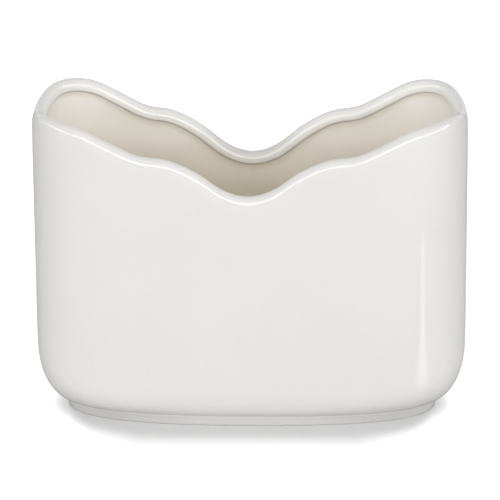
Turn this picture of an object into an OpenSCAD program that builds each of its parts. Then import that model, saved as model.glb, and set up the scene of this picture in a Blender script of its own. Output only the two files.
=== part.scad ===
// Upright ceramic napkin holder, cast in one piece: a deep oblong cup with rounded ends, a rim that
// rises and falls along both long walls, a rolled lip and a stepped-in foot ring.
// Millimetres, +Z up, origin on the table under the middle of the foot. +Y is the back long wall.

/* [Cup] */
// Length over the rounded ends, at the gauge height
cup_length = 180; // [150:1:220]
// Depth over the long walls, at the gauge height
cup_depth = 75; // [62:0.5:100]
// Height at which the length and the depth are measured
gauge_height = 100; // [80:1:110]
// Squareness of the plan along the long walls: 2 is an ellipse, more keeps them flat for longer
wall_squareness = 7; // [4:0.5:9]
// Squareness of the plan at the ends: 2 is round, more is flatter
end_squareness = 2; // [1.8:0.1:3.5]
// Flare of the two ends from upright, in degrees
end_flare = 0.2; // [0:0.1:2]
// Flare of the two long walls from upright, in degrees
wall_flare = 3.3; // [0:0.1:4]
// How far the middle of each long wall draws in at the gauge height
waist = 2; // [0:0.1:4]
// Thickness of the walls
wall = 4; // [3:0.1:4.6]

/* [Rim] */
// Height of the middle of the lip at the dip in the front long wall
front_dip = 98.5; // [85:0.5:110]
// Height of the middle of the lip at the dip in the back long wall
back_dip = 96; // [85:0.5:110]
// Height of the middle of the lip at the crests
crest_height = 129; // [120:0.5:145]
// Width of the rolled lip, which stands out inside the wall
lip_width = 5.5; // [5:0.1:7]
// Height of the lip's round top over its middle
lip_height = 4.5; // [3:0.1:6]

/* [Base] */
// Height of the base curve at the ends
end_rise = 24; // [16:1:30]
// Height of the base curve at the long walls
side_rise = 13; // [10:1:20]
// Thickness of the floor over the foot's step
floor_thickness = 4; // [3:0.1:6]
// How far the inner floor's edge lies inside the foot's outer wall
floor_margin = 4; // [3:0.1:6]

/* [Foot ring] */
// Length of the foot ring
foot_length = 154.5; // [125:0.5:165]
// Depth of the foot ring
foot_depth = 55.5; // [48:0.5:58]
// Squareness of the foot ring's plan
foot_squareness = 2.5; // [2.2:0.1:4]
// Height of the foot ring's outer wall
foot_height = 4.8; // [4:0.1:8]
// Width of the standing ring
foot_width = 5; // [4:0.1:8]
// Depth of the recess inside the ring
recess_depth = 3; // [2.6:0.1:3.6]
// Radius of the ring's two bottom edges
foot_edge = 0.8; // [0.4:0.1:1]
// Radius of the hollow where the foot meets the cup
step_fillet = 0.8; // [0.3:0.1:1]
// Radius of the hollow round the recess
recess_fillet = 1.5; // [0.5:0.1:1.6]

/* [Hidden] */

// Stations round the plan, a multiple of 4, and samples of the table that spaces them evenly
stations = 124;
samples = 720;
// Steps in which a point of the plan is found
reach_steps = 8;

// Height of the rim from dip to crest at even steps from the middle of a long wall to an end
rim_shares = [0, 0.095, 0.35, 0.535, 0.59, 0.755, 0.93, 1, 1, 0.93, 0.86];
// Part of the half length over which the waist fades out
waist_reach_share = 0.85;

// Steps of the outline's round stretches, in degrees
corner_steps = [0, 45, 90];
step_steps = [0, 45];
base_steps = [12, 25, 38, 51, 64, 77, 90];
inner_steps = [90, 75, 60, 45, 30, 15, 0];
lip_steps = [0, 20, 40, 60, 80, 100, 120, 140, 160, 180];
under_steps = [45, 90];
// Places of the rows along the straight stretches
wall_row_shares = [0.35, 0.7];

// How far the lip stands out over the inner wall, half of it a round edge and half a hollow
overhang = lip_width - wall;

// Half sizes of the cup at height z
function half_length(z) = cup_length / 2 + (z - gauge_height) * tan(end_flare);
function half_depth(z) = cup_depth / 2 + (z - gauge_height) * tan(wall_flare);
// Waist at height z: none at the foot, all of it at the gauge height
function waist_at(z) = waist * z / gauge_height;

// Plans of the cup and the foot: half length, half depth and the two squarenesses
cup_plan = [cup_length / 2, cup_depth / 2, wall_squareness, end_squareness];
foot_plan = [foot_length / 2, foot_depth / 2, foot_squareness, foot_squareness];

// Distance from the middle to a plan's outline along the direction [c, s], closing in from r
function reach(plan, c, s, r, steps) =
    steps == 0 ? r
    : let (u = pow(r * c / plan[0], plan[2]), v = pow(r * s / plan[1], plan[3]))
      reach(plan, c, s, r * (1 - (u + v - 1) / (plan[2] * u + plan[3] * v)), steps - 1);

// Point of a plan's outline at polar angle a, starting from the ellipse of the same size
function oblong(plan, a) =
    let (c = abs(cos(a)), s = abs(sin(a)))
    reach(plan, c, s, 1 / norm([c / plan[0], s / plan[1]]), reach_steps) * [cos(a), sin(a)];

// Table of [length along the outline, polar angle], for stations at even distances
function arc_table(plan) =
    [for (k = 0, s = 0; k <= samples;
          k = k + 1,
          s = s + norm(oblong(plan, 360 * k / samples) - oblong(plan, 360 * (k - 1) / samples)))
        [s, 360 * k / samples]];

cup_table = arc_table(cup_plan);
foot_table = arc_table(foot_plan);
cup_girth = cup_table[samples][0];
foot_girth = foot_table[samples][0];
cup_angles = [for (i = [0:stations - 1]) lookup(cup_girth * i / stations, cup_table)];
foot_angles = [for (i = [0:stations - 1]) lookup(foot_girth * i / stations, foot_table)];

// Outward normal of a closed ring of points at station i
function ring_normal(ring, i) =
    let (d = ring[(i + 1) % stations] - ring[(i + stations - 1) % stations])
    [d.y, -d.x] / norm(d);

cup_ring = [for (a = cup_angles) oblong(cup_plan, a)];
foot_ring = [for (a = foot_angles) oblong(foot_plan, a)];
cup_normals = [for (i = [0:stations - 1]) ring_normal(cup_ring, i)];
foot_normals = [for (i = [0:stations - 1]) ring_normal(foot_ring, i)];

// Share of the waist at station i, fading from the middle of a long wall
function waist_share(i) =
    pow(cos(90 * min(1, abs(cup_ring[i].x) / (waist_reach_share * cup_length / 2))), 2);

// Point on the cup's outer face at station i and height z, moved inwards by inset
function cup_point(i, z, inset) =
    let (x = cup_ring[i].x / (cup_length / 2), y = cup_ring[i].y / (cup_depth / 2),
         p = [half_length(z) * x, (half_depth(z) - waist_at(z) * waist_share(i)) * y]
             - inset * cup_normals[i])
    [p.x, p.y, z];

// Point on the foot's outer face at station i, moved inwards by inset
function foot_point(i, z, inset) =
    let (p = foot_ring[i] - inset * foot_normals[i])
    [p.x, p.y, z];

// Smooth curve through evenly spaced values v, level at both ends, at share s of its length
function curve(v, s) =
    let (last = len(v) - 1, k = min(floor(s * last), last - 1), f = s * last - k,
         a = v[k == 0 ? 1 : k - 1], b = v[k], c = v[k + 1], d = v[k + 2 > last ? last - 1 : k + 2])
    b + f * (c - a) / 2 + f * f * (a - 2.5 * b + 2 * c - d / 2) + f * f * f * (1.5 * (b - c) + (d - a) / 2);

// Way from the middle of a long wall to an end, at station i
function wall_share(i) = abs((4 * i / stations + 4) % 2 - 1);
// Way from the front wall to the back wall, level along both
function back_share(i) = (1 + sin(90 * cup_ring[i].y / (cup_depth / 2))) / 2;
// Height of the lip's middle at station i, and the rim's slope there
function rim_height(i) =
    let (dip = front_dip + (back_dip - front_dip) * back_share(i))
    dip + (crest_height - dip) * curve(rim_shares, wall_share(i));
function rim_slope(i) =
    (rim_height((i + 1) % stations) - rim_height((i + stations - 1) % stations)) / (2 * cup_girth / stations);
// Growth of the lip's upright section, so that the lip stays alike across a sloping rim
function lip_growth(i) = norm([1, rim_slope(i)]);

// Height of the base curve at station i, by the way that the wall faces
function base_rise(i) = side_rise + (end_rise - side_rise) * pow(cup_normals[i].x, 2);

// Rows of points, each a closed ring, from the recess under the floor to the floor itself
function recess_row(i, a) =
    foot_point(i, recess_depth - recess_fillet * (1 - cos(a)), foot_width + recess_fillet * (1 - sin(a)));
function inner_edge_row(i, a) =
    foot_point(i, foot_edge * (1 - sin(a)), foot_width - foot_edge * (1 - cos(a)));
function outer_edge_row(i, a) =
    foot_point(i, foot_edge * (1 - cos(a)), foot_edge * (1 - sin(a)));
function step_row(i, a) =
    foot_point(i, foot_height - step_fillet * (1 - sin(a)), -step_fillet * (1 - cos(a)));
function base_row(i, a) =
    let (rise = base_rise(i), top = cup_point(i, foot_height + rise, 0),
         foot = foot_point(i, foot_height + rise, 0), p = foot + (top - foot) * sin(a))
    [p.x, p.y, foot_height + rise * (1 - cos(a))];
function outer_row(i, s) =
    let (bottom = foot_height + base_rise(i))
    cup_point(i, bottom + (rim_height(i) - bottom) * s, 0);
function lip_row(i, a) =
    cup_point(i, rim_height(i), lip_width / 2 * (1 - cos(a))) + [0, 0, lip_height * lip_growth(i) * sin(a)];
function lip_edge_row(i, a) =
    cup_point(i, rim_height(i), lip_width - overhang / 2 * (1 - cos(a)))
    - [0, 0, overhang / 2 * lip_growth(i) * sin(a)];
function under_row(i, a) =
    cup_point(i, rim_height(i), wall + overhang / 2 * (1 - sin(a)))
    - [0, 0, overhang / 2 * lip_growth(i) * (2 - cos(a))];
function inner_top(i) = rim_height(i) - overhang * lip_growth(i);
function inner_bottom(i) = foot_height + floor_thickness + base_rise(i);
function inner_row(i, s) =
    cup_point(i, inner_top(i) + (inner_bottom(i) - inner_top(i)) * s, wall);
function hollow_row(i, a) =
    let (top = cup_point(i, inner_bottom(i), wall), foot = foot_point(i, inner_bottom(i), floor_margin),
         p = foot + (top - foot) * sin(a))
    [p.x, p.y, inner_bottom(i) - base_rise(i) * cos(a)];

around = [0:stations - 1];
rows = concat(
    [for (a = corner_steps) [for (i = around) recess_row(i, a)]],
    [for (a = corner_steps) [for (i = around) inner_edge_row(i, a)]],
    [for (a = corner_steps) [for (i = around) outer_edge_row(i, a)]],
    [for (a = step_steps) [for (i = around) step_row(i, a)]],
    [for (a = base_steps) [for (i = around) base_row(i, a)]],
    [for (s = wall_row_shares) [for (i = around) outer_row(i, s)]],
    [for (a = lip_steps) [for (i = around) lip_row(i, a)]],
    [for (a = under_steps) [for (i = around) lip_edge_row(i, a)]],
    [for (a = under_steps) [for (i = around) under_row(i, a)]],
    [for (s = wall_row_shares) [for (i = around) inner_row(i, s)]],
    [for (a = inner_steps) [for (i = around) hollow_row(i, a)]]);

// The cup and its foot, one casting
module holder_body() {
    count = len(rows);
    points = concat([for (row = rows) each row],
                    [[0, 0, recess_depth], [0, 0, foot_height + floor_thickness]]);
    under = count * stations;
    over = under + 1;
    faces = concat(
        [for (i = around) [under, i, (i + 1) % stations]],
        [for (k = [0:count - 2], i = around)
            let (a = k * stations + i, b = k * stations + (i + 1) % stations)
            each [[a, a + stations, b + stations], [a, b + stations, b]]],
        [for (i = around) let (a = (count - 1) * stations)
            [a + i, over, a + (i + 1) % stations]]);
    color([0.91, 0.905, 0.89]) polyhedron(points = points, faces = faces, convexity = 6);
}

holder_body();
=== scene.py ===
"""Looks of the glazed napkin holder: its cast body with the glaze and the bare standing ring.

The studio follows at the end: the floor, the world, the lamps and the camera.
"""
import logging
import math
from dataclasses import dataclass, field
from enum import Enum
from typing import ClassVar

import bmesh
import bpy
from bpy.types import Material, Node, NodeSocket, NodeTree
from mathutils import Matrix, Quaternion, Vector
from mathutils.kdtree import KDTree


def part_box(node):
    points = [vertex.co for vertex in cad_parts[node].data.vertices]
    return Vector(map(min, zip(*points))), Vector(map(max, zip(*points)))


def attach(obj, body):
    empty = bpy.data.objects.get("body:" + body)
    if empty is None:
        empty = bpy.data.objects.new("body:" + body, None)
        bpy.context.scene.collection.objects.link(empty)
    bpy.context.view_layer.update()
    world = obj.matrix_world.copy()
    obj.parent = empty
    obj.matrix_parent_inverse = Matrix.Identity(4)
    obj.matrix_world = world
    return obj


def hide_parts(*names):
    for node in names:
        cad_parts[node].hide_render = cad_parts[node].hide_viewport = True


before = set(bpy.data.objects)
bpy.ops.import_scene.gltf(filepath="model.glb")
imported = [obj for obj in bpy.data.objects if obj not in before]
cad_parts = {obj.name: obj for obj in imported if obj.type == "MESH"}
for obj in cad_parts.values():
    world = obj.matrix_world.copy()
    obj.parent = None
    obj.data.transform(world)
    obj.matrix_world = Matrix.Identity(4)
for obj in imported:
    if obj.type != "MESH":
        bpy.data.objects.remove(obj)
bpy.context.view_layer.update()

LOG = logging.getLogger("napkin_holder")
MM = 0.001
IMAGE_SIDE = 500
WHITE = (1, 1, 1, 1)

Colour = tuple[float, float, float]
Range = tuple[float, float]


class Face(Enum):
    """The finishes of the body, in the order of its material slots."""

    GLAZED = 0
    BARE = 1


class Tool:
    """Small helpers that wire material nodes."""

    RISING: ClassVar[Range] = (0, 1)
    FALLING: ClassVar[Range] = (1, 0)
    MIDDLE_OF_NOISE: ClassVar[Range] = (0.3, 0.7)
    COLOURS_TO_MIX: ClassVar[tuple[int, int]] = (6, 7)
    MIXED_COLOUR: ClassVar[int] = 2

    @staticmethod
    def material(name: str) -> tuple[Material, NodeTree, Node]:
        """Makes an empty node material with its surface shader.

        Args:
            name: The material's name.

        Returns:
            The material, its node tree and its Principled shader.
        """
        made = bpy.data.materials.new(name)
        made.use_nodes = True
        tree = made.node_tree
        tree.nodes.clear()
        shader = tree.nodes.new("ShaderNodeBsdfPrincipled")
        output = tree.nodes.new("ShaderNodeOutputMaterial")
        tree.links.new(shader.outputs["BSDF"], output.inputs["Surface"])
        return made, tree, shader

    @staticmethod
    def place(tree: NodeTree) -> NodeSocket:
        """Gives the place on the piece's own coordinates, in metres."""
        return tree.nodes.new("ShaderNodeTexCoord").outputs["Object"]

    @staticmethod
    def along(tree: NodeTree, axis: str) -> NodeSocket:
        """Gives the place along one axis of the piece.

        Args:
            tree: The material's node tree.
            axis: The axis: X, Y or Z.

        Returns:
            The place along that axis, in metres.
        """
        split = tree.nodes.new("ShaderNodeSeparateXYZ")
        tree.links.new(Tool.place(tree), split.inputs[0])
        return split.outputs[axis]

    @staticmethod
    def measure(tree: NodeTree, name: str) -> NodeSocket:
        """Reads a measure that each point of the mesh carries.

        Args:
            tree: The material's node tree.
            name: The measure's name on the mesh.

        Returns:
            The measure.
        """
        reading = tree.nodes.new("ShaderNodeAttribute")
        reading.attribute_name = name
        return reading.outputs["Fac"]

    @staticmethod
    def noise(tree: NodeTree, size: float, detail: float) -> NodeSocket:
        """Adds a noise pattern on the piece's own coordinates.

        Args:
            tree: The material's node tree.
            size: Width of the pattern's patches, in metres.
            detail: Octaves of finer noise.

        Returns:
            The noise's value, about 0.5 on average.
        """
        noise = tree.nodes.new("ShaderNodeTexNoise")
        noise.inputs["Scale"].default_value = 1 / size
        noise.inputs["Detail"].default_value = detail
        tree.links.new(Tool.place(tree), noise.inputs["Vector"])
        return noise.outputs["Fac"]

    @staticmethod
    def spread(tree: NodeTree, value: NodeSocket, reach: Range, result: Range) -> NodeSocket:
        """Spreads a range of a value over a range of results, and holds it at both ends.

        Args:
            tree: The material's node tree.
            value: The value to spread.
            reach: The value's range.
            result: The results at the two ends of that range.

        Returns:
            The spread value.
        """
        ramp = tree.nodes.new("ShaderNodeMapRange")
        ramp.inputs["From Min"].default_value, ramp.inputs["From Max"].default_value = reach
        ramp.inputs["To Min"].default_value, ramp.inputs["To Max"].default_value = result
        tree.links.new(value, ramp.inputs["Value"])
        return ramp.outputs["Result"]

    @staticmethod
    def blend(
            tree: NodeTree, share: NodeSocket, first: Colour | NodeSocket, second: Colour | NodeSocket
    ) -> NodeSocket:
        """Mixes two colours, each given as a colour or as a socket.

        Args:
            tree: The material's node tree.
            share: Share of the second colour.
            first: The colour at share 0.
            second: The colour at share 1.

        Returns:
            The mixed colour.
        """
        mix = tree.nodes.new("ShaderNodeMix")
        mix.data_type = "RGBA"
        tree.links.new(share, mix.inputs["Factor"])
        for index, colour in zip(Tool.COLOURS_TO_MIX, (first, second)):
            if isinstance(colour, NodeSocket):
                tree.links.new(colour, mix.inputs[index])
            else:
                mix.inputs[index].default_value = (*colour, 1)
        return mix.outputs[Tool.MIXED_COLOUR]

    @staticmethod
    def reckon(tree: NodeTree, operation: str, *values: NodeSocket) -> NodeSocket:
        """Reckons one value from one or two others.

        Args:
            tree: The material's or the world's node tree.
            operation: The Math node's operation.
            values: The values that it takes, in their order.

        Returns:
            The result.
        """
        node = tree.nodes.new("ShaderNodeMath")
        node.operation = operation
        for socket, value in zip(node.inputs, values):
            tree.links.new(value, socket)
        return node.outputs[0]

    @staticmethod
    def emboss(tree: NodeTree, shader: Node, relief: NodeSocket, depth: float) -> None:
        """Gives the surface a fine relief.

        Args:
            tree: The material's node tree.
            shader: The material's surface shader.
            relief: The relief's height, from 0 to 1.
            depth: The depth that a height of 1 stands for, in metres.
        """
        bump = tree.nodes.new("ShaderNodeBump")
        bump.inputs["Distance"].default_value = depth
        tree.links.new(relief, bump.inputs["Height"])
        tree.links.new(bump.outputs["Normal"], shader.inputs["Normal"])

    @staticmethod
    def backdrop_share(tree: NodeTree) -> NodeSocket:
        """Tells the rays that show the white backdrop, straight or by gloss, from those that light.

        Args:
            tree: The world's node tree.

        Returns:
            1 for the camera's, glossy and transmitted rays, and 0 for the rest.
        """
        path = tree.nodes.new("ShaderNodeLightPath")
        share = path.outputs["Is Camera Ray"]
        for kind in ("Is Glossy Ray", "Is Transmission Ray"):
            share = Tool.reckon(tree, "MAXIMUM", share, path.outputs[kind])
        return share


@dataclass(frozen=True)
class Glaze:
    """Clear glossy glaze over an off-white body, with painted warm bounce light inside the cup and
    painted shade lower in it.
    """

    thin: Colour = (0.820, 0.812, 0.785)
    thick: Colour = (0.800, 0.790, 0.760)
    # Painted shade: greys the band just above the standing ring, where the body's overhang shades it.
    foot_shade: Colour = (0.665, 0.660, 0.645)
    foot_shade_fade: Range = (3.4 * MM, 4.4 * MM)
    # Painted shade: greys the lip's upward-facing crown, which the low front lamps light less.
    crown: Colour = (0.730, 0.724, 0.709)
    crown_shade_fade: Range = (0.6 * MM, 3.4 * MM)
    crown_shade_inner_fade: Range = (0.1 * MM, 1.6 * MM)
    lip_edge: Range = (4.3 * MM, 4.9 * MM)
    # Painted warm bounce light: the cup's inside is lighter and warmer than the outside.
    inside: Colour = (0.895, 0.872, 0.828)
    # Painted shade deep in the cup: darker and warmer towards the bottom, blended in over the height
    # range below.
    deep_bounce_shade: Colour = (0.875, 0.812, 0.692)
    deep_shade_heights: Range = (82 * MM, 122 * MM)
    # Painted shadow in the crease under the lip: warm and darker, fading downward.
    crease_shade: Colour = (0.660, 0.590, 0.475)
    crease_shade_share: float = 0.6
    crease_shade_fade: Range = (4.9 * MM, 8 * MM)
    cloud_size: float = 45 * MM
    cloud_detail: float = 3
    roughness: Range = (0.03, 0.07)
    gloss_size: float = 15 * MM
    gloss_detail: float = 4
    ripple_size: float = 9 * MM
    ripple_detail: float = 2
    ripple_depth: float = 0.02 * MM
    light_bending: float = 1.52

    def outer_colour(self, tree: NodeTree, height: NodeSocket, below: NodeSocket) -> NodeSocket:
        """Colours the outside: faint clouds, and painted shade that greys the band above the standing
        ring and the lip's upward-facing crown.

        Args:
            tree: The material's node tree.
            height: Height above the table.
            below: Depth below the lip's crown, inside the cup.

        Returns:
            The colour.
        """
        clouds = Tool.noise(tree, self.cloud_size, self.cloud_detail)
        cloudy = Tool.spread(tree, clouds, Tool.MIDDLE_OF_NOISE, Tool.RISING)
        colour = Tool.blend(tree, cloudy, self.thin, self.thick)
        # Painted shade under the body's overhang, on the band above the standing ring.
        in_foot_shade = Tool.spread(tree, height, self.foot_shade_fade, Tool.FALLING)
        colour = Tool.blend(tree, in_foot_shade, colour, self.foot_shade)
        down_outside = Tool.measure(tree, Body.BELOW_OUTSIDE)
        # Painted shade on the lip's crown, fading down the outside and a little way into the cup.
        crown_shade_share = Tool.reckon(
            tree, "MULTIPLY",
            Tool.spread(tree, down_outside, self.crown_shade_fade, Tool.FALLING),
            Tool.spread(tree, below, self.crown_shade_inner_fade, Tool.FALLING))
        return Tool.blend(tree, crown_shade_share, colour, self.crown)

    def colour(self, tree: NodeTree) -> NodeSocket:
        """Colours the body: its outside, the cup's inside with painted warm bounce light and painted
        shade lower down, and painted shadow in the crease under the lip.

        Args:
            tree: The material's node tree.

        Returns:
            The colour.
        """
        height = Tool.along(tree, "Z")
        below = Tool.measure(tree, Body.BELOW_LIP)
        outside = self.outer_colour(tree, height, below)
        in_cup = Tool.spread(tree, below, self.lip_edge, Tool.RISING)
        # Painted warm bounce light in the cup, with painted shade that deepens lower down.
        colour = Tool.blend(
            tree, Tool.spread(tree, height, self.deep_shade_heights, Tool.FALLING),
            Tool.blend(tree, in_cup, outside, self.inside),
            Tool.blend(tree, in_cup, outside, self.deep_bounce_shade))
        # Painted shadow under the lip's undercut, fading down the inner wall.
        in_crease_shade = Tool.reckon(
            tree, "MULTIPLY",
            Tool.spread(tree, below, self.lip_edge, (0, self.crease_shade_share)),
            Tool.spread(tree, below, self.crease_shade_fade, Tool.FALLING))
        return Tool.blend(tree, in_crease_shade, colour, self.crease_shade)

    def dress(self) -> Material:
        """Makes the glaze's material.

        Returns:
            The material.
        """
        made, tree, shader = Tool.material("milk_white_glaze")
        tree.links.new(self.colour(tree), shader.inputs["Base Color"])
        gloss = Tool.noise(tree, self.gloss_size, self.gloss_detail)
        rough = Tool.spread(tree, gloss, Tool.MIDDLE_OF_NOISE, self.roughness)
        tree.links.new(rough, shader.inputs["Roughness"])
        shader.inputs["IOR"].default_value = self.light_bending
        ripple = Tool.noise(tree, self.ripple_size, self.ripple_detail)
        Tool.emboss(tree, shader, ripple, self.ripple_depth)
        return made


@dataclass(frozen=True)
class BareClay:
    """The fired body where the glaze is wiped off, matt and slightly sandy."""

    pale: Colour = (0.76, 0.742, 0.705)
    dark: Colour = (0.66, 0.635, 0.59)
    roughness: Range = (0.75, 0.95)
    grain_size: float = 0.6 * MM
    grain_detail: float = 4
    grain_depth: float = 0.05 * MM

    def dress(self) -> Material:
        """Makes the bare clay's material.

        Returns:
            The material.
        """
        made, tree, shader = Tool.material("bare_standing_ring")
        grains = Tool.noise(tree, self.grain_size, self.grain_detail)
        dark_share = Tool.spread(tree, grains, Tool.MIDDLE_OF_NOISE, Tool.RISING)
        colour = Tool.blend(tree, dark_share, self.pale, self.dark)
        tree.links.new(colour, shader.inputs["Base Color"])
        rough = Tool.spread(tree, grains, Tool.MIDDLE_OF_NOISE, self.roughness)
        tree.links.new(rough, shader.inputs["Roughness"])
        Tool.emboss(tree, shader, grains, self.grain_depth)
        return made


@dataclass
class Body:
    """The cast body: the solid's own mesh, closed, laid in even quads, smoothed and glazed."""

    BELOW_LIP: ClassVar[str] = "below_lip"
    BELOW_OUTSIDE: ClassVar[str] = "below_outside"
    node: str = "holder_body"
    slot: str = "glazed_body"
    weld: float = 0.001 * MM
    smoothing: int = 2
    bare_height: float = 0.3 * MM
    foot_top: float = 6 * MM
    lowest_rim: float = 90 * MM
    wall_squareness: float = 7.0
    end_squareness: float = 2.0
    lip_crown: float = 0.3
    lip_zone: float = 12 * MM
    lip_side: float = 0.5 * MM
    wall_step: float = 8 * MM
    glaze: Glaze = field(default_factory=Glaze)
    clay: BareClay = field(default_factory=BareClay)

    def closed_quads(self) -> bmesh.types.BMesh:
        """Copies the solid's loose triangles, closes them and pairs them into quads.

        Returns:
            The body's mesh.
        """
        shape = bmesh.new()
        shape.from_mesh(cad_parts[self.node].data)
        bmesh.ops.remove_doubles(shape, verts=shape.verts, dist=self.weld)
        bmesh.ops.join_triangles(
            shape, faces=shape.faces, angle_face_threshold=math.pi, angle_shape_threshold=math.pi)
        bmesh.ops.recalc_face_normals(shape, faces=shape.faces)
        return shape

    def mark_faces(self, shape: bmesh.types.BMesh) -> None:
        """Gives each face its finish: bare on the standing ring, glazed elsewhere.

        Args:
            shape: The body's mesh.
        """
        for face in shape.faces:
            on_ring = face.calc_center_median().z < self.bare_height
            face.material_index = (Face.BARE if on_ring else Face.GLAZED).value
            face.smooth = True

    def outwards(self, point: Vector, half: Vector) -> Vector:
        """Gives the level direction in which the cup's outline faces near a point.

        Args:
            point: The point, on the cup's wall or lip.
            half: Half the cup's size.

        Returns:
            The direction, of length 1.
        """
        wall, end = self.wall_squareness, self.end_squareness
        along, across = point.x / half.x, point.y / half.y
        return Vector((
            wall * math.copysign(abs(along) ** (wall - 1), along) / half.x,
            end * math.copysign(abs(across) ** (end - 1), across) / half.y,
            0)).normalized()

    def mark_depth(self, shape: bmesh.types.BMesh) -> None:
        """Writes how far each point lies below the lip's crown beside it, in the cup and outside.

        Args:
            shape: The body's mesh.
        """
        below_lip = shape.verts.layers.float.new(self.BELOW_LIP)
        below_outside = shape.verts.layers.float.new(self.BELOW_OUTSIDE)
        low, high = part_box(self.node)
        half = (high - low) / 2
        facing = {vert: vert.normal.dot(self.outwards(vert.co, half)) for vert in shape.verts}
        crowns = [vert for vert in shape.verts if vert.co.z > self.lowest_rim
                  and vert.normal.z > 0 and abs(facing[vert]) < self.lip_crown]
        seen_from_above = KDTree(len(crowns))
        for index, vert in enumerate(crowns):
            seen_from_above.insert((vert.co.x, vert.co.y, 0), index)
        seen_from_above.balance()
        LOG.info("%d points along the lip's crown", len(crowns))
        for vert in shape.verts:
            crown = crowns[seen_from_above.find((vert.co.x, vert.co.y, 0))[1]]
            below = max(0.0, (crown.co.z - vert.co.z) * crown.normal.z)
            beside = (vert.co - crown.co).dot(self.outwards(crown.co, half))
            in_cup = facing[vert] < 0 or (below < self.lip_zone and beside < -self.lip_side)
            on_floor = vert.co.z < self.lowest_rim and vert.normal.z > abs(vert.normal.y)
            inside = vert.co.z > self.foot_top and (in_cup or on_floor)
            vert[below_lip] = below if inside else 0.0
            vert[below_outside] = 0.0 if inside and below < self.lip_zone else below

    def sharpen_undercut(self, shape: bmesh.types.BMesh) -> None:
        """Keeps the crease under the lip crisp when the body is smoothed.

        Args:
            shape: The body's mesh, with its depths written.
        """
        sharp = shape.edges.layers.float.new("crease_edge")
        depth = shape.verts.layers.float[self.BELOW_LIP]
        heads = {max(edge.verts, key=lambda vert: vert.co.z)
                 for edge in shape.edges if edge.calc_length() > self.wall_step}
        ring = {vert for vert in heads if 0 < vert[depth] < self.lip_zone}
        for edge in shape.edges:
            edge[sharp] = 1.0 if ring.issuperset(edge.verts) else 0.0
        LOG.info("%d points along the undercut", len(ring))

    def build(self) -> bpy.types.Object:
        """Builds and dresses the body.

        Returns:
            The piece that stands for the solid.
        """
        shape = self.closed_quads()
        self.mark_faces(shape)
        self.mark_depth(shape)
        self.sharpen_undercut(shape)
        mesh = bpy.data.meshes.new("glazed_body")
        shape.to_mesh(mesh)
        shape.free()
        piece = bpy.data.objects.new("glazed_body", mesh)
        bpy.context.scene.collection.objects.link(piece)
        mesh.materials.append(self.glaze.dress())
        mesh.materials.append(self.clay.dress())
        smooth = piece.modifiers.new("smooth", "SUBSURF")
        smooth.levels = self.smoothing
        smooth.render_levels = self.smoothing
        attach(piece, "root")
        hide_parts(self.node)
        LOG.info("%s: %d faces", piece.name, len(mesh.polygons))
        return piece


@dataclass(frozen=True)
class Softbox:
    """A flat rectangular studio lamp, which may light the object, show in its gloss, or both."""

    name: str
    place: tuple[float, float, float]
    aim: tuple[float, float, float]
    size: tuple[float, float]
    watts: float
    shines: bool = False
    lights: bool = True
    turn: float = 0.0

    def hang(self) -> None:
        """Hangs the lamp and turns it to its aim."""
        data = bpy.data.lights.new(self.name, "AREA")
        data.shape = "RECTANGLE"
        data.size, data.size_y = self.size
        data.energy = self.watts
        lamp = bpy.data.objects.new(self.name, data)
        bpy.context.scene.collection.objects.link(lamp)
        lamp.location = self.place
        lamp.visible_camera = False
        lamp.visible_diffuse = self.lights
        lamp.visible_glossy = self.shines
        facing = (Vector(self.aim) - Vector(self.place)).to_track_quat("-Z", "Y")
        lamp.rotation_euler = (facing @ Quaternion((0, 0, 1), self.turn)).to_euler()
        LOG.info("%s hung", self.name)


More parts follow.
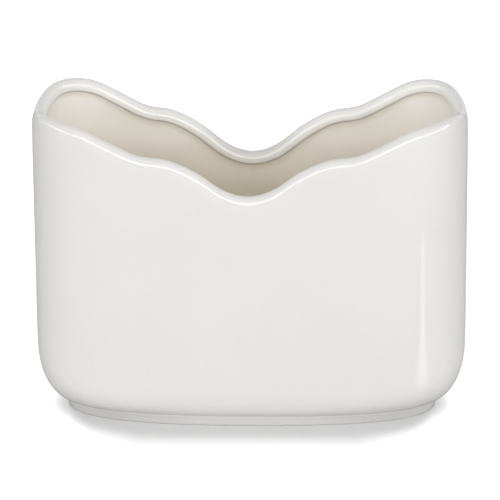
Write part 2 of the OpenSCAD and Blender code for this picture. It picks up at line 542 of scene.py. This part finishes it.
@dataclass(frozen=True)
class WhiteFloor:
    """Matt floor: white to the camera, with a soft grey shade where the holder stands.

    The shade reads how near the holder is. It reaches less far beyond the holder's ends.
    """

    seen: Colour = (0.30, 0.30, 0.30)
    bounce: Colour = (0.60, 0.60, 0.60)
    shaded_bounce: Colour = (0.50, 0.50, 0.50)
    glow: Range = (0.95, 1.00)
    glow_fade: Range = (0.14, 0.60)
    end_fade: Range = (0.045, 0.076)
    shade_reach: Range = (0.029, 0.0073)
    shade_strength: Range = (1.42, 0.80)
    darkest_shade: float = 0.594
    shade_samples: int = 16

    def glow_over(self, tree: NodeTree) -> NodeSocket:
        """Lifts the floor to white, a little less near the holder.

        Args:
            tree: The material's node tree.

        Returns:
            The glow's strength.
        """
        distance = tree.nodes.new("ShaderNodeVectorMath")
        distance.operation = "LENGTH"
        tree.links.new(Tool.place(tree), distance.inputs[0])
        return Tool.spread(tree, distance.outputs["Value"], self.glow_fade, self.glow)

    def openness(self, tree: NodeTree) -> tuple[NodeSocket, NodeSocket]:
        """Finds how open each place of the floor lies beside the holder.

        Args:
            tree: The material's node tree.

        Returns:
            The open share as the light meets it, and as the camera is shown it.
        """
        aside = Tool.reckon(tree, "ABSOLUTE", Tool.along(tree, "X"))
        contact = tree.nodes.new("ShaderNodeAmbientOcclusion")
        contact.samples = self.shade_samples
        reach = Tool.spread(tree, aside, self.end_fade, self.shade_reach)
        tree.links.new(reach, contact.inputs["Distance"])
        hidden = Tool.reckon(
            tree, "MULTIPLY",
            Tool.spread(tree, aside, self.end_fade, self.shade_strength),
            Tool.spread(tree, contact.outputs["AO"], Tool.RISING, Tool.FALLING))
        shown = Tool.spread(tree, hidden, (0, self.darkest_shade), (1, 1 - self.darkest_shade))
        return contact.outputs["AO"], shown

    def dress(self) -> Material:
        """Makes the floor's material.

        Returns:
            The material.
        """
        made, tree, shader = Tool.material("white_floor")
        shader.inputs["Roughness"].default_value = 1.0
        shader.inputs["Specular IOR Level"].default_value = 0.0
        shader.inputs["Emission Color"].default_value = WHITE
        to_camera = tree.nodes.new("ShaderNodeLightPath").outputs["Is Camera Ray"]
        met, shown = self.openness(tree)
        bounce = Tool.blend(tree, met, self.shaded_bounce, self.bounce)
        colour = Tool.blend(tree, to_camera, bounce, self.seen)
        tree.links.new(colour, shader.inputs["Base Color"])
        glow = Tool.reckon(tree, "MULTIPLY", to_camera, self.glow_over(tree))
        glow = Tool.reckon(tree, "MULTIPLY", glow, shown)
        tree.links.new(glow, shader.inputs["Emission Strength"])
        return made


@dataclass
class Studio:
    """White floor, plain world and softboxes."""

    floor_side: float = 6.0
    floor: WhiteFloor = field(default_factory=WhiteFloor)
    world_level: float = 0.30
    lamps: tuple[Softbox, ...] = (
        Softbox("front_strip", (0.0, -2.0, 0.61), (0.0, 0.0, 0.11), (4.4, 0.20), 24.5, shines=True),
        Softbox("left_strip", (-2.2, -0.7, 0.65), (0.0, -0.7, 0.11), (2.4, 0.20), 11.5, shines=True),
        Softbox("right_strip", (2.2, -0.7, 0.65), (0.0, -0.7, 0.11), (2.4, 0.20), 13.0, shines=True),
        Softbox("front_fill", (0.0, -2.0, 1.00), (0.0, 0.0, 0.08), (1.8, 1.2), 3.0),
        Softbox("high_fill", (0.25, -1.5, 1.80), (0.0, 0.0, 0.08), (1.6, 1.0), 11.2),
        Softbox("left_fill", (-2.1, 0.0, 0.80), (0.0, 0.0, 0.08), (1.4, 1.0), 1.1),
        Softbox("right_fill", (2.1, 0.0, 0.80), (0.0, 0.0, 0.08), (1.4, 1.0), 1.6),
        Softbox("back_fill", (0.0, 2.1, 0.90), (0.0, 0.0, 0.08), (2.0, 1.0), 24.0),
        Softbox("table_strip", (0.146, -0.106, 0.002), (0.146, -0.106, 1.0), (0.152, 0.016), 0.0125,
                shines=True, lights=False, turn=math.radians(46)),
    )

    def lay_floor(self) -> None:
        """Lays the floor, which reads white and keeps the object's shadow."""
        shape = bmesh.new()
        bmesh.ops.create_grid(shape, x_segments=1, y_segments=1, size=self.floor_side / 2)
        mesh = bpy.data.meshes.new("floor")
        shape.to_mesh(mesh)
        shape.free()
        mesh.materials.append(self.floor.dress())
        floor = bpy.data.objects.new("floor", mesh)
        bpy.context.scene.collection.objects.link(floor)
        LOG.info("floor laid")

    def fill_world(self) -> None:
        """Lights the world evenly, and shows it white to the camera and in the gloss."""
        world = bpy.data.worlds.new("studio")
        world.use_nodes = True
        tree = world.node_tree
        tree.nodes.clear()
        output = tree.nodes.new("ShaderNodeOutputWorld")
        background = tree.nodes.new("ShaderNodeBackground")
        background.inputs["Color"].default_value = WHITE
        level = Tool.spread(tree, Tool.backdrop_share(tree), Tool.RISING, (self.world_level, 1))
        tree.links.new(level, background.inputs["Strength"])
        tree.links.new(background.outputs["Background"], output.inputs["Surface"])
        bpy.context.scene.world = world
        LOG.info("world filled")

    def build(self) -> None:
        """Builds the floor, the world and the lamps."""
        self.lay_floor()
        self.fill_world()
        for lamp in self.lamps:
            lamp.hang()


@dataclass(frozen=True)
class Camera:
    """A long lens that looks down on the holder's front."""

    azimuth: float = math.radians(1.95)
    elevation: float = math.radians(20)
    roll: float = math.radians(-0.4)
    distance: float = 2.0
    pixels_per_metre: float = 2400.0
    film_width: float = 36.0
    aim: tuple[float, float, float] = (-0.0003, 0.0, 0.0680)

    def place(self) -> None:
        """Places the camera."""
        data = bpy.data.cameras.new("camera")
        data.sensor_width = self.film_width
        data.lens = self.film_width * self.pixels_per_metre * self.distance / IMAGE_SIDE
        camera = bpy.data.objects.new("camera", data)
        bpy.context.scene.collection.objects.link(camera)
        level = self.distance * math.cos(self.elevation)
        back = Vector((
            level * math.sin(self.azimuth),
            -level * math.cos(self.azimuth),
            self.distance * math.sin(self.elevation)))
        camera.location = Vector(self.aim) + back
        turned = (-back).to_track_quat("-Z", "Y") @ Quaternion((0, 0, 1), self.roll)
        camera.rotation_euler = turned.to_euler()
        bpy.context.scene.camera = camera
        LOG.info("camera placed, lens %.0f mm", data.lens)


def main() -> None:
    """Builds the holder and the studio."""
    logging.basicConfig(level=logging.INFO, format="%(name)s: %(message)s")
    bpy.context.scene.view_settings.view_transform = "Standard"
    Camera().place()
    Body().build()
    Studio().build()
    LOG.info("boxes written")


if __name__ == "__main__":
    main()
